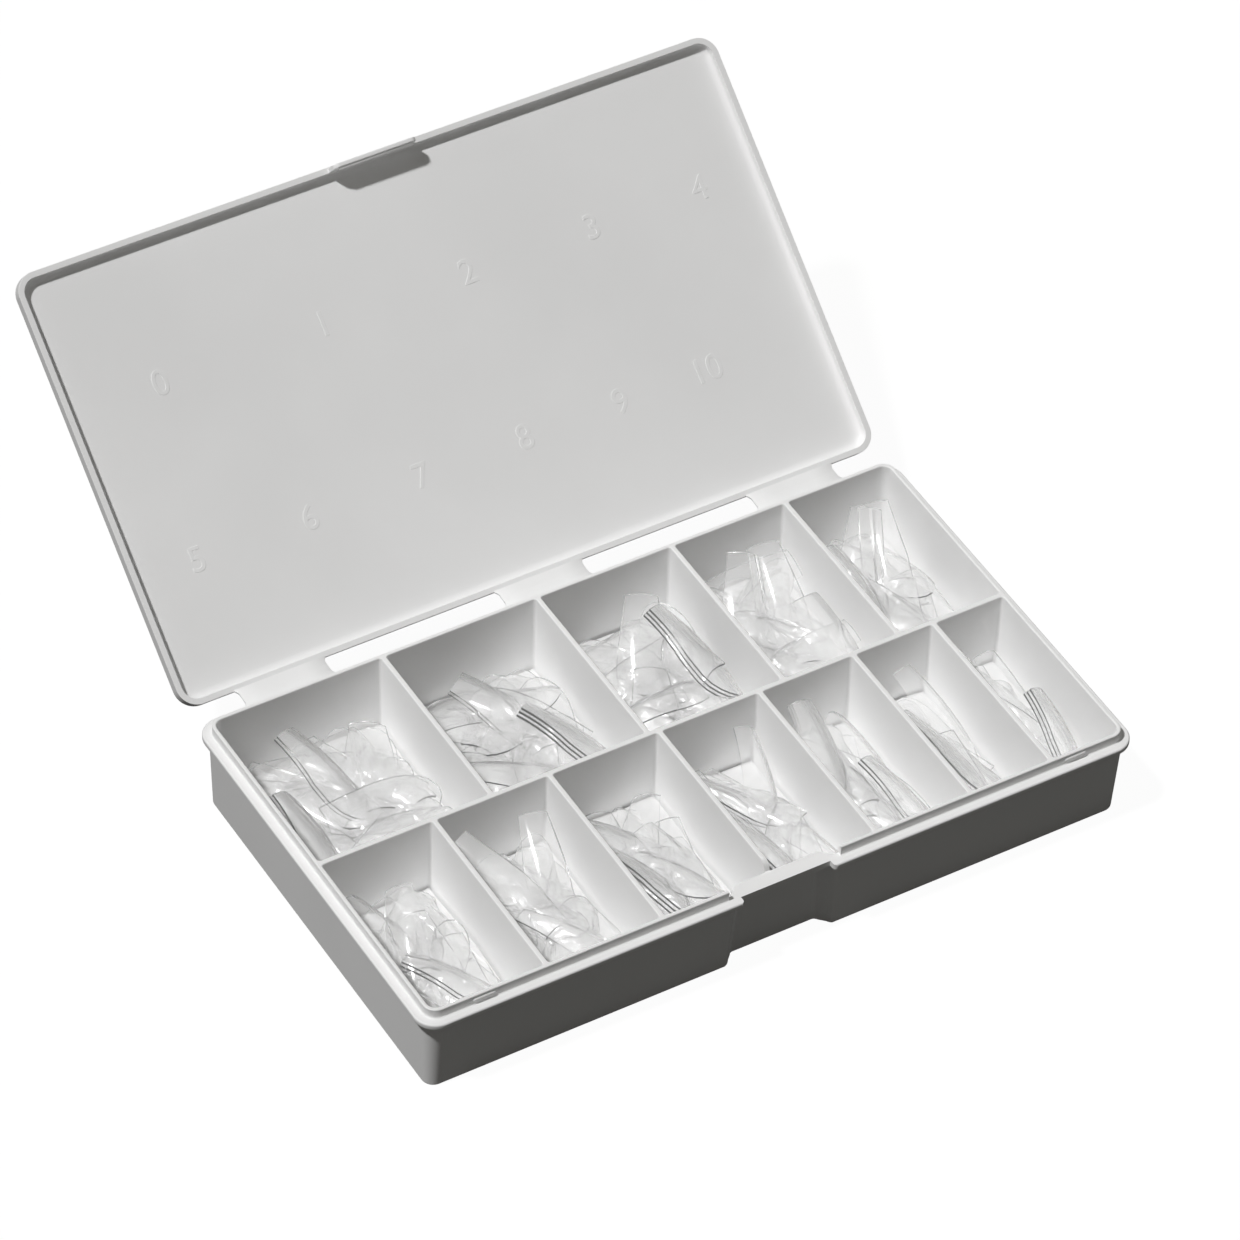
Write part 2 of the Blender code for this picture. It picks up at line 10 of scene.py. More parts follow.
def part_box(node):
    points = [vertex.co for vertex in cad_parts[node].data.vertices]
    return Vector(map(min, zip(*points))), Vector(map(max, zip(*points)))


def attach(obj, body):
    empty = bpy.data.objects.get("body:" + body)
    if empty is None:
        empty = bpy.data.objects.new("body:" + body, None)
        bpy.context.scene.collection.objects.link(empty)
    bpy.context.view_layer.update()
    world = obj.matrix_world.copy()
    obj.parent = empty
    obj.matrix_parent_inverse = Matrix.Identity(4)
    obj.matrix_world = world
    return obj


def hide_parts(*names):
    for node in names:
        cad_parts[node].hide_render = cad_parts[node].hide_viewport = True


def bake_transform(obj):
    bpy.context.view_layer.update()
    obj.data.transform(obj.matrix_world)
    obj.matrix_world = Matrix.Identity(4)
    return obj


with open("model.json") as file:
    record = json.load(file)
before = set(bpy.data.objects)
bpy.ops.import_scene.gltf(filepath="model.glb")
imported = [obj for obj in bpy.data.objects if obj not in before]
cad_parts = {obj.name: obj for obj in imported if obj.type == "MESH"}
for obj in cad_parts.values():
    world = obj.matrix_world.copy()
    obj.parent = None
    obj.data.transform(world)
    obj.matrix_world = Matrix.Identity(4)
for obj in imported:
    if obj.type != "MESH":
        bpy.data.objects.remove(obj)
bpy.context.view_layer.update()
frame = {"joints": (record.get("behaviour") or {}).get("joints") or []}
mm = 0.001
white = (1, 1, 1, 1)
scene = bpy.context.scene
hinge = frame["joints"][0]
openAngle = math.radians(max(hinge["range_deg"]))  # from shut to where the lid stands
hingePoint = Vector(hinge["pos_m"])
trayLow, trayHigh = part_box("tray_shell")
print("frame loaded")


def hexToLinear(code):
    # an sRGB hex code as a linear colour with full alpha
    channels = [int(code[i:i + 2], 16) / 255 for i in (1, 3, 5)]
    return (*(c / 12.92 if c <= 0.04045 else ((c + 0.055) / 1.055) ** 2.4 for c in channels), 1)


def addNode(tree, kind, settings=None, values=None, links=None):
    # links maps an input's name or number to the output socket that feeds it
    node = tree.nodes.new(kind)
    for name, value in (settings or {}).items():
        setattr(node, name, value)
    for key, value in (values or {}).items():
        node.inputs[key].default_value = value
    for key, socket in (links or {}).items():
        tree.links.new(socket, node.inputs[key])
    return node


def newMaterial(name):
    made = bpy.data.materials.new(name)
    made.use_nodes = True
    tree = made.node_tree
    tree.nodes.clear()
    return made, tree, addNode(tree, "ShaderNodeOutputMaterial")


def addNoise(tree, place, size, values):
    # three-dimensional noise whose marks are about this large
    return addNode(tree, "ShaderNodeTexNoise", values={"Scale": 1 / size, **values},
                   links={"Vector": place}).outputs["Fac"]


def rampBetween(tree, factor, colours, stops):
    ramp = addNode(tree, "ShaderNodeValToRGB", links={"Fac": factor})
    for element, colour, stop in zip(ramp.color_ramp.elements, colours, stops):
        element.position = stop
        element.color = hexToLinear(colour)
    return ramp.outputs["Color"]


def mixByRay(tree, kinds, usual, special):
    # rays of these kinds meet the special shader, all others the usual one
    rays = addNode(tree, "ShaderNodeLightPath").outputs
    chosen = rays[kinds[0]]
    for kind in kinds[1:]:
        either = addNode(tree, "ShaderNodeMath", {"operation": "MAXIMUM"}, links={0: chosen, 1: rays[kind]})
        chosen = either.outputs[0]
    return addNode(tree, "ShaderNodeMixShader", links={0: chosen, 1: usual.outputs[0], 2: special.outputs[0]})


moulding = {
    "colour": "#F8F8F8", "cloudColour": "#F4F4F4", "cloudStops": (0.35, 0.65),
    "cloudSize": 38 * mm,  # faint flow marks across a wall
    "cloudDetail": 2.0, "cloudRoughness": 0.4,
    "grainSize": 0.55 * mm,  # eroded mould surface, drawn coarser than the real 0.1 mm so that it shows
    "grainDetail": 3.0, "grainDepth": 0.012 * mm, "grainStrength": 0.5,
    "roughness": 0.42, "roughnessSpread": 0.06, "index": 1.49, "specular": 0.35,
}


def makePolypropylene():
    # natural polypropylene, injection moulded in a fine-eroded steel mould: a waxy satin off-white
    # with no sharp reflections and very faint cloudy flow marks
    made, tree, output = newMaterial("naturalPolypropylene")
    place = addNode(tree, "ShaderNodeTexCoord").outputs["Object"]
    clouds = addNoise(tree, place, moulding["cloudSize"],
                      {"Detail": moulding["cloudDetail"], "Roughness": moulding["cloudRoughness"]})
    tone = rampBetween(tree, clouds, (moulding["cloudColour"], moulding["colour"]), moulding["cloudStops"])
    grain = addNoise(tree, place, moulding["grainSize"], {"Detail": moulding["grainDetail"]})
    low = moulding["roughness"] - moulding["roughnessSpread"]
    high = moulding["roughness"] + moulding["roughnessSpread"]
    rough = addNode(tree, "ShaderNodeMapRange", values={"To Min": low, "To Max": high}, links={"Value": grain})
    bump = addNode(tree, "ShaderNodeBump", links={"Height": grain},
                   values={"Strength": moulding["grainStrength"], "Distance": moulding["grainDepth"]})
    shader = addNode(tree, "ShaderNodeBsdfPrincipled",
                     values={"IOR": moulding["index"], "Specular IOR Level": moulding["specular"]},
                     links={"Base Color": tone, "Roughness": rough.outputs["Result"],
                            "Normal": bump.outputs["Normal"]})
    tree.links.new(shader.outputs[0], output.inputs["Surface"])
    return made


clearTips = {
    "clearAbs": {"colour": "#FEFEFE", "roughness": 0.1, "index": 1.5,
                 "clear": 0.92},  # the rest of its light scatters
    "clearAbsPaintedEdgeShade": {"colour": "#8E8F8F", "roughness": 0.12, "index": 1.5,
                     "clear": 0.5},  # painted shade: the grey stands in for the dark lines that refraction draws along a cut edge
}


def makeClearTipPlastic(name):
    # clear ABS, injection moulded and polished: water-clear with glinting edges; the edge version is grey as
    # painted shade for the dark lines that refraction draws along the cut edges.
    # lamplight and scattered light pass straight through it, so what lies below stays bright
    clearTip = clearTips[name]
    made, tree, output = newMaterial(name)
    glass = addNode(tree, "ShaderNodeBsdfPrincipled", values={
        "Base Color": hexToLinear(clearTip["colour"]), "Roughness": clearTip["roughness"],
        "IOR": clearTip["index"], "Transmission Weight": clearTip["clear"]})
    through = addNode(tree, "ShaderNodeBsdfTransparent", values={"Color": white})
    mix = mixByRay(tree, ("Is Shadow Ray", "Is Diffuse Ray"), glass, through)
    tree.links.new(mix.outputs[0], output.inputs["Surface"])
    return made


heapPlastic = {
    "colour": "#EAEAEA", "layerColour": "#DEDEDE", "layerStops": (0.3, 0.7),
    "layerSize": 6 * mm, "layerDetail": 2.0, "layerWarp": 1.5, "roughness": 0.3, "index": 1.5,
    "thrown": "#FDFDFD",  # what the walls around it receive
}


def makeHeapPlastic():
    # the same clear ABS seen many layers deep: it turns milky, with soft glints,
    # and throws more light on to the walls than its top layer alone would
    made, tree, output = newMaterial("layeredClearAbs")
    place = addNode(tree, "ShaderNodeTexCoord").outputs["Object"]
    layers = addNoise(tree, place, heapPlastic["layerSize"],
                      {"Detail": heapPlastic["layerDetail"], "Distortion": heapPlastic["layerWarp"]})
    colours = heapPlastic["layerColour"], heapPlastic["colour"]
    shader = addNode(tree, "ShaderNodeBsdfPrincipled",
                     values={"Roughness": heapPlastic["roughness"], "IOR": heapPlastic["index"]},
                     links={"Base Color": rampBetween(tree, layers, colours, heapPlastic["layerStops"])})
    thrown = addNode(tree, "ShaderNodeBsdfDiffuse", values={"Color": hexToLinear(heapPlastic["thrown"])})
    mix = mixByRay(tree, ("Is Diffuse Ray",), shader, thrown)
    tree.links.new(mix.outputs[0], output.inputs["Surface"])
    return made


polypropylene = makePolypropylene()
clearAbs, clearAbsPaintedEdgeShade = makeClearTipPlastic("clearAbs"), makeClearTipPlastic("clearAbsPaintedEdgeShade")
layeredAbs = makeHeapPlastic()
print("materials made")


def meshObject(name, verts, faces, material, sharpAngle=32):
    mesh = bpy.data.meshes.new(name)
    mesh.from_pydata([tuple(v) for v in verts], [], faces)
    mesh.materials.append(material)
    mesh.shade_smooth()
    mesh.set_sharp_from_angle(angle=math.radians(sharpAngle))
    made = bpy.data.objects.new(name, mesh)
    scene.collection.objects.link(made)
    return made


def appendMesh(verts, faces, moreVerts, moreFaces):
    faces += [tuple(i + len(verts) for i in face) for face in moreFaces]
    verts += moreVerts


def loftMesh(rings):
    # verts and faces through rings of equal count, closed with a flat cap at each end
    count = len(rings[0])
    verts = [point for ring in rings for point in ring]
    faces = []
    for k in range(len(rings) - 1):
        for i in range(count):
            j = (i + 1) % count
            faces.append((k * count + i, k * count + j, (k + 1) * count + j, (k + 1) * count + i))
    faces.append(tuple(reversed(range(count))))
    faces.append(tuple(range((len(rings) - 1) * count, len(rings) * count)))
    return verts, faces


def roundedRing(low, high, radii, z, steps):
    # radii for the corners at +x+y, -x+y, -x-y and +x-y
    corners = ((high[0], high[1], -1, -1, 0), (low[0], high[1], 1, -1, 90),
               (low[0], low[1], 1, 1, 180), (high[0], low[1], -1, 1, 270))
    ring = []
    for (x, y, sx, sy, start), radius in zip(corners, radii):
        for k in range(steps + 1):
            turn = math.radians(start + 90 * k / steps)
            ring.append((x + sx * radius + radius * math.cos(turn),
                         y + sy * radius + radius * math.sin(turn), z))
    return ring


def arcPoints(centre, radii, start, end, steps):
    turns = [math.radians(start + (end - start) * k / steps) for k in range(steps + 1)]
    return [(centre[0] + radii[0] * math.cos(t), centre[1] + radii[1] * math.sin(t)) for t in turns]


def extrudeX(outline, low, high):
    # a prism along X from (y, z) points that run anticlockwise seen from +X
    return loftMesh([[(x, y, z) for y, z in outline] for x in (low, high)])


def bake(piece, name):
    # an object's evaluated shape as a plain mesh object of its own
    bpy.context.view_layer.update()
    graph = bpy.context.evaluated_depsgraph_get()
    mesh = bpy.data.meshes.new_from_object(piece.evaluated_get(graph), depsgraph=graph)
    mesh.name = name
    made = bpy.data.objects.new(name, mesh)
    scene.collection.objects.link(made)
    return made


finish = {"sharpAngle": 38, "flatWeight": 60}  # how strongly large faces keep their fillets' shading flat


def finishMoulding(piece, name, tools=()):
    # applies the cuts, then keeps flat faces flat beside their fillets
    piece.data.shade_smooth()
    made = bake(piece, name)
    for old in (piece, *tools):
        bpy.data.objects.remove(old, do_unlink=True)
    made.data.shade_smooth()
    made.data.set_sharp_from_angle(angle=math.radians(finish["sharpAngle"]))
    weigh = made.modifiers.new("flats", "WEIGHTED_NORMAL")
    weigh.mode = "FACE_AREA"
    weigh.weight = finish["flatWeight"]
    weigh.keep_sharp = True
    final = bake(made, name + "Final")
    bpy.data.objects.remove(made, do_unlink=True)
    final.name = name
    return final


def openLid(points):
    # from the shut lid's place to where the lid stands
    turn = Matrix.Rotation(-openAngle, 3, "X")
    return [hingePoint + turn @ (Vector(p) - hingePoint) for p in points]


tray = {
    "footInset": 2.3 * mm, "footRound": 0.5 * mm, "wallLean": 0.8 * mm, "underRound": 0.25 * mm,
    "flangeThickness": 1.4 * mm, "flangeRound": 0.42 * mm, "lipInset": 2.1 * mm, "lipHeight": 2.4 * mm,
    "lipRound": 0.26 * mm, "lipThickness": 0.9 * mm, "lipFillet": 0.4 * mm, "cornerRadius": 5.1 * mm,
    "wall": 1.3 * mm, "innerLean": 0.6 * mm, "floor": 1.2 * mm, "floorFillet": 1.0 * mm,
    "pocketFillet": 0.7 * mm, "edgeRound": 0.27 * mm, "smallestRound": 0.12 * mm,
    "cornerSteps": 14, "pocketSteps": 6,
}
rimTop = trayHigh.z
flangeTop = rimTop - tray["lipHeight"]
pastCut = 1 * mm  # a cutter reaches this far, or two or three times as far, past what it cuts


def trayRing(inset, z):
    low = (trayLow.x + inset, trayLow.y + inset)
    high = (trayHigh.x - inset, trayHigh.y - inset)
    return roundedRing(low, high, [tray["cornerRadius"] - inset] * 4, z, tray["cornerSteps"])


def outerRings():
    # from the foot up the wall, under and round the flange, and up the lip
    foot, lean, lip = tray["footInset"], tray["wallLean"], tray["lipInset"]
    low, small, edge = tray["footRound"], tray["underRound"], tray["flangeRound"]
    fillet, top = tray["lipFillet"], tray["lipRound"]
    under = flangeTop - tray["flangeThickness"]
    points = arcPoints((foot + low, low), (low, low), 270, 180, 5)
    points += [(foot - lean, under - small), (foot - lean - small, under)]
    points += arcPoints((small, under + small), (small, small), 270, 180, 3)
    points += arcPoints((edge, flangeTop - edge), (edge, edge), 180, 90, 5)
    points += arcPoints((lip - fillet, flangeTop + fillet), (fillet, fillet), 270, 360, 4)
    points += arcPoints((lip + top, rimTop - top), (top, top), 180, 90, 4)
    points += [(lip + tray["lipThickness"], rimTop)]
    return [trayRing(inset, z) for inset, z in points]


def wallAt(z):
    return tray["footInset"] + tray["wall"] - tray["innerLean"] * z / rimTop


def pocketRings(sides):
    # sides holds the left, right, front and back faces; None stands for the tray's own leaning wall
    outer = [side is None for side in sides]
    fillet, edge = tray["floorFillet"], tray["edgeRound"]
    levels = [(tray["floor"] + fillet * (1 - math.cos(a)), -fillet * (1 - math.sin(a)))
              for a in np.radians((0, 18, 36, 54, 72, 90))]
    levels += [(rimTop - edge + edge * math.sin(a), edge * (1 - math.cos(a)))
               for a in np.radians((0, 22, 45, 67, 90))]
    levels.append((rimTop + 2 * pastCut, edge))
    rings = []
    for z, grow in levels:
        inset = wallAt(min(z, rimTop))
        walls = trayLow.x + inset, trayHigh.x - inset, trayLow.y + inset, trayHigh.y - inset
        left, right, front, back = (wall if side is None else side for side, wall in zip(sides, walls))
        corner = tray["cornerRadius"] - inset
        radii = [corner if outer[a] and outer[b] else tray["pocketFillet"]
                 for a, b in ((1, 3), (0, 3), (0, 2), (1, 2))]
        radii = [max(radius + grow, tray["smallestRound"]) for radius in radii]
        low, high = (left - grow, front - grow), (right + grow, back + grow)
        rings.append(roundedRing(low, high, radii, z, tray["pocketSteps"]))
    return rings


recess = {
    "mouth": 25.3 * mm, "back": 21.9 * mm, "depth": 2.9 * mm, "draft": 0.7 * mm, "wall": 1.0 * mm,
    "cornerRadius": 1.2 * mm, "wallRound": 0.6 * mm, "smallestRound": 0.3 * mm, "roof": 1.5 * mm,
    # the mouth's rounded sides run out to just in front of the tray's wall, and its cutter clears the wall
    "mouthRound": 1.1 * mm, "mouthRunOut": 0.03 * mm, "mouthClear": 0.3 * mm,
    "lipBreak": 27.3 * mm, "lipBreakFront": 1.2 * mm, "lipBreakToe": 0.35 * mm,
    "flangeGap": 21.9 * mm, "ledgeFront": 1.75 * mm, "flangeEndRound": 0.9 * mm, "flangeEndFlare": 1.6,
    # heights above the foot, and drops below the flange, each with how far the edge gives way there
    "footEdge": ((0.0, 0.45 * mm), (0.12 * mm, 0.2 * mm), (0.45 * mm, 0.0)),
    "topEdge": ((0.3 * mm, 0.0), (0.09 * mm, 0.09 * mm), (0.0, 0.3 * mm)),
}


def recessRing(wall, z, grow=0.0):
    # plan outline of the recess at a height; with a wall it is the housing behind it
    shift = recess["draft"] * z / flangeTop
    half = recess["back"] / 2 + wall - shift + grow
    back = trayLow.y + tray["footInset"] + recess["depth"] + wall - shift + grow
    face = trayLow.y + tray["footInset"] - tray["wallLean"] * max(z, 0) / flangeTop
    slope = (recess["mouth"] - recess["back"]) / 2 / recess["depth"]
    radius = recess["cornerRadius"] + (recess["wallRound"] if wall else 0) + grow
    radius = max(radius, recess["smallestRound"])
    side = arcPoints((half - radius, back - radius), (radius, radius), 90, math.degrees(math.atan(slope)), 7)
    mouthX = half + slope * (back - face)
    if wall:
        side += [(mouthX, face + tray["wall"] / 2)]
    else:
        bend, out = recess["mouthRound"], mouthX + 2 * pastCut
        start = Vector((mouthX - slope * bend, face + bend))
        middle = Vector((mouthX, face))
        end = Vector((mouthX + bend, face - recess["mouthRunOut"]))
        side += [tuple(start * (1 - t) ** 2 + middle * 2 * t * (1 - t) + end * t * t)
                 for t in np.linspace(0, 1, 7)]
        side += [(out, face - recess["mouthClear"]), (out, trayLow.y - 3 * pastCut)]
    ring = [(-x, y) for x, y in reversed(side)] + side
    return [(x, y, z) for x, y in reversed(ring)]


def makeTray():
    shell = meshObject("trayBlank", *loftMesh(outerRings()), polypropylene)
    tools = []

    def cut(name, shape, target=shell):
        tool = meshObject(name, *shape, polypropylene)
        tool.hide_render = True
        tools.append(tool)
        step = target.modifiers.new(name, "BOOLEAN")
        step.operation = "DIFFERENCE"
        step.solver = "EXACT"
        step.object = tool
        return tool

    wall, lip = recess["wall"], tray["lipHeight"]
    roof = flangeTop - recess["roof"]
    housing = [recessRing(wall, -pastCut)]
    housing += [recessRing(wall, flangeTop - drop, -shrink) for drop, shrink in recess["topEdge"]]
    middleLow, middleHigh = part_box("middle_wall")
    halfGap = recess["mouth"] / 2 + wall
    for row, count, front, back in (("back", 5, middleHigh.y, None), ("front", 7, None, middleLow.y)):
        boxes = [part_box(f"{row}_divider_{k}") for k in range(1, count)]
        lefts = [None] + [high.x for low, high in boxes]
        rights = [low.x for low, high in boxes] + [None]
        for number, (left, right) in enumerate(zip(lefts, rights), 1):
            pocket = cut(f"{row}Pocket{number}", loftMesh(pocketRings((left, right, front, back))))
            between = left is not None and right is not None
            if row == "front" and between and left < halfGap and right > -halfGap:
                cut(f"housing{number}", loftMesh(housing), pocket)  # the pocket leaves room for the recess
    rings = [recessRing(0, -2 * pastCut, recess["footEdge"][0][1])]
    rings += [recessRing(0, z, grow) for z, grow in (*recess["footEdge"], (roof, 0.0))]
    cut("recessCut", loftMesh(rings))
    inner = max(y for x, y, z in recessRing(wall, flangeTop))
    breakFront = trayLow.y + recess["lipBreakFront"]
    profile = [(breakFront, flangeTop), (inner - recess["lipBreakToe"], flangeTop)]
    profile += [(inner + lip * (1 - math.cos(a)), flangeTop + lip * math.sin(a))
                for a in np.radians((0, 15, 30, 45, 60, 75, 90))]
    profile += [(inner + lip, rimTop + 2 * pastCut), (breakFront, rimTop + 2 * pastCut)]
    cut("lipBreak", extrudeX(profile, -recess["lipBreak"] / 2, recess["lipBreak"] / 2))
    half, bend = recess["flangeGap"] / 2, recess["flangeEndRound"]
    side = [(half, trayLow.y + recess["ledgeFront"])]
    side += arcPoints((half + bend, trayLow.y + bend), (bend, bend), 180, 262, 6)
    side += [(half + bend * recess["flangeEndFlare"], trayLow.y - pastCut)]
    ring = [(-x, y) for x, y in reversed(side)] + side
    cut("flangeCut", loftMesh([[(x, y, z) for x, y in reversed(ring)]
                               for z in (roof - pastCut, flangeTop + pastCut)]))
    return finishMoulding(shell, "trayMoulding", tools)


trayMoulding = makeTray()
print("tray made", len(trayMoulding.data.polygons))


nubs = {
    "spread": 144.5 * mm, "length": 5.4 * mm, "height": 0.95 * mm, "reach": 0.3 * mm, "drop": 1.25 * mm,
    "sunk": 0.2 * mm,
    "straight": 0.8,  # the share of its length that keeps its full height
    "endSection": 0.02,  # the share of its section that is left at its ends
    "stations": (-1, -0.97, -0.9, -0.8, 0, 0.8, 0.9, 0.97, 1),
}


def makeNubs():
    # two low rounded bars on the lip's outer face that hold the lid shut
    face = trayLow.y + tray["lipInset"] + nubs["sunk"]
    reach = nubs["reach"] + nubs["sunk"]
    verts, faces = [], []
    for side in (-1, 1):
        middle = side * nubs["spread"] / 2
        rings = []
        for share in nubs["stations"]:
            past = max(abs(share) - nubs["straight"], 0) / (1 - nubs["straight"])
            bulge = math.sqrt(max(1 - past ** 2, nubs["endSection"]))
            rings.append([(middle + share * nubs["length"] / 2, face - reach * bulge * math.cos(a),
                           rimTop - nubs["drop"] + nubs["height"] / 2 * bulge * math.sin(a))
                          for a in np.radians(range(-90, 91, 18))])
        appendMesh(verts, faces, *loftMesh(rings))
    return meshObject("snapNubs", verts, faces, polypropylene)


snapNubs = makeNubs()
print("nubs made")


lid = {
    "overhang": -0.4 * mm,  # its outer face against the tray's flange
    "cornerRadius": 4.7 * mm, "smallestRound": 0.3 * mm, "skirt": 1.35 * mm, "depth": 3.05 * mm,
    "panel": 0.8 * mm, "seatGap": 0.5 * mm, "outerRound": 0.7 * mm, "rimRound": 0.09 * mm,
    "innerFilletWidth": 1.7 * mm, "innerFilletHeight": 1.05 * mm,
}
lidRim = flangeTop + lid["seatGap"]


def lidRing(inset, z):
    shift = inset - lid["overhang"]
    low = (trayLow.x + shift, trayLow.y + shift)
    high = (trayHigh.x - shift, trayHigh.y - shift)
    radius = max(lid["cornerRadius"] - inset, lid["smallestRound"])
    return roundedRing(low, high, [radius] * 4, z, tray["cornerSteps"])


def makeLid():
    top = lidRim + lid["depth"]
    panel = top - lid["panel"]
    skirt, rim, outer = lid["skirt"], lid["rimRound"], lid["outerRound"]
    wide, high = lid["innerFilletWidth"], lid["innerFilletHeight"]
    points = arcPoints((skirt + wide, panel - high), (wide, high), 90, 180, 8)
    points += arcPoints((skirt - rim, lidRim + rim), (rim, rim), 0, -90, 3)
    points += arcPoints((rim, lidRim + rim), (rim, rim), 270, 180, 3)
    points += arcPoints((outer, top - outer), (outer, outer), 180, 90, 6)
    verts, faces = loftMesh([lidRing(inset, z) for inset, z in points])
    return finishMoulding(meshObject("lidBlank", openLid(verts), faces, polypropylene), "lidMoulding")


lidMoulding = makeLid()
print("lid made")


numerals = {
    "height": 5.6 * mm, "heightShare": 0.7,  # against the size of the type
    "relief": 0.06 * mm, "bevel": 0.05 * mm,
    # how far from the hinge side, which row, how many, and the first one's value
    "rows": ((67.3 * mm, "back", 5, 0), (29.1 * mm, "front", 6, 5)),
}


def makeNumerals():
    # plain numerals raised on the inside of the lid, one over each compartment but the last
    panel = lidRim + lid["depth"] - lid["panel"]
    rear = trayHigh.y + lid["overhang"]
    verts, faces = [], []
    for away, row, count, first in numerals["rows"]:
        for k in range(count):
            low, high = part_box(f"{row}_tips_{k + 1}")
            curve = bpy.data.curves.new("numeral", "FONT")
            curve.body = str(first + k)
            curve.size = numerals["height"] / numerals["heightShare"]
            curve.align_x = "CENTER"
            curve.align_y = "CENTER"
            curve.extrude = numerals["relief"] / 2
            curve.bevel_depth = numerals["bevel"]
            letter = bpy.data.objects.new("numeral", curve)
            scene.collection.objects.link(letter)
            flat = bake(letter, "numeralMesh")
            middle = Vector(((low.x + high.x) / 2, rear - away, panel))
            place = [middle + Vector((v.co.x, -v.co.y, -v.co.z)) for v in flat.data.vertices]
            appendMesh(verts, faces, openLid(place), [p.vertices for p in flat.data.polygons])
            bpy.data.objects.remove(letter, do_unlink=True)
            bpy.data.objects.remove(flat, do_unlink=True)
    return meshObject("lidNumerals", verts, faces, polypropylene)


lidNumerals = makeNumerals()
print("numerals made")


latch = {
    "width": 20.5 * mm, "reach": 4.0 * mm, "inset": 0.3 * mm, "thickness": 0.95 * mm,
    "cornerRadius": 1.5 * mm, "edgeRound": 0.2 * mm, "rootBelow": 0.1 * mm, "rootSunk": 0.3 * mm,
    "beadLength": 18.4 * mm, "beadReach": 0.65 * mm, "beadHeight": 1.0 * mm, "beadTop": 2.65 * mm,
    "beadSunk": 0.1 * mm, "sharpAngle": 40,
    # along the bead, against half its length, each with its thickness there against the full one
    "beadStations": ((-1, 0.1), (-0.985, 0.7), (-0.95, 1.0), (0.95, 1.0), (0.985, 0.7), (1, 0.1)),
}


def makeLatchTab():
    front = trayLow.y - lid["overhang"] + latch["inset"]
    inner = front + latch["thickness"]
    half, reach, corner = latch["width"] / 2, latch["reach"], latch["cornerRadius"]
    edge, sunk, root = latch["edgeRound"], latch["beadSunk"], lidRim + latch["rootSunk"]
    stations = [(-half + corner * (1 - math.cos(a)), reach - corner * (1 - math.sin(a)))
                for a in np.radians(range(0, 91, 10))]
    stations += [(-x, deep) for x, deep in reversed(stations)]
    rings = []
    for x, deep in stations:
        end = lidRim - deep
        ring = arcPoints((front + edge, end + edge), (edge, edge), 180, 270, 4)
        ring += arcPoints((inner - edge, end + edge), (edge, edge), 270, 360, 4)
        ring += [(inner, lidRim - latch["rootBelow"]), (inner, root), (front, root)]
        rings.append([(x, y, z) for y, z in ring])
    verts, faces = loftMesh(rings)
    middle = (inner - sunk, lidRim - latch["beadTop"] - latch["beadHeight"] / 2)
    beadRings = []
    for share, size in latch["beadStations"]:
        radii = (latch["beadReach"] + sunk) * size, latch["beadHeight"] / 2 * size
        beadRings.append([(share * latch["beadLength"] / 2, y, z)
                          for y, z in arcPoints(middle, radii, -90, 90, 8)])
    appendMesh(verts, faces, *loftMesh(beadRings))
    return meshObject("latchTab", openLid(verts), faces, polypropylene, latch["sharpAngle"])


latchTab = makeLatchTab()
print("latch tab made")


web = {
    "width": 20.8 * mm, "spread": 63.8 * mm, "thickness": 0.5 * mm, "sharpAngle": 50, "rings": 25,
    "sunk": 0.35 * mm, "depth": 0.3 * mm,  # its ends lie this far inside the flange and the rim
    "trayFlare": 0.8 * mm, "trayFlareShare": 0.24, "lidFlare": 0.9 * mm, "lidFlareShare": 0.3,
    "flareCurve": 1.3,
    "waist": 0.25, "waistShare": 0.12,  # how much thinner it is halfway, and over what share of its length
    "sideThickness": 0.6,  # against the rest of it
    "stations": (-1, -0.99, -0.5, 0, 0.5, 0.99, 1),
}


def makeWebs():
    # thin strips that join flange and lid; their ends sweep out into the flange and the rim
    start = Vector((0, trayHigh.y - web["sunk"], flangeTop - web["depth"]))
    rear = trayHigh.y + lid["overhang"]
    end = openLid([(0, rear - web["sunk"], lidRim + web["depth"])])[0]
    along = (end - start).normalized()
    lift = Vector((0, -along.z, along.y)) * web["thickness"] / 2
    made = []
    for name, middle in (("left", -web["spread"]), ("middle", 0.0), ("right", web["spread"])):
        rings = []
        for share in np.linspace(0, 1, web["rings"]):
            near = max(0, 1 - share / web["trayFlareShare"])
            far = max(0, 1 - (1 - share) / web["lidFlareShare"])
            flare = web["trayFlare"] * near ** web["flareCurve"] + web["lidFlare"] * far ** web["flareCurve"]
            point = start.lerp(end, share)
            half = web["width"] / 2 + flare
            thick = 1.0 - web["waist"] * math.exp(-((share - 0.5) / web["waistShare"]) ** 2)
            places = [(half * k, web["sideThickness"] if abs(k) == 1 else 1) for k in web["stations"]]
            top = [(middle + x, *(point + lift * thick * side)[1:]) for x, side in places]
            low = [(middle + x, *(point - lift * thick * side)[1:]) for x, side in reversed(places)]
            rings.append(low + top)
        piece = meshObject(f"hingeWeb_{name}", *loftMesh(rings), polypropylene, web["sharpAngle"])
        made.append((piece, f"hinge_web_{name}"))
    return made, start, end


webs, webStart, webEnd = makeWebs()
print("webs made")


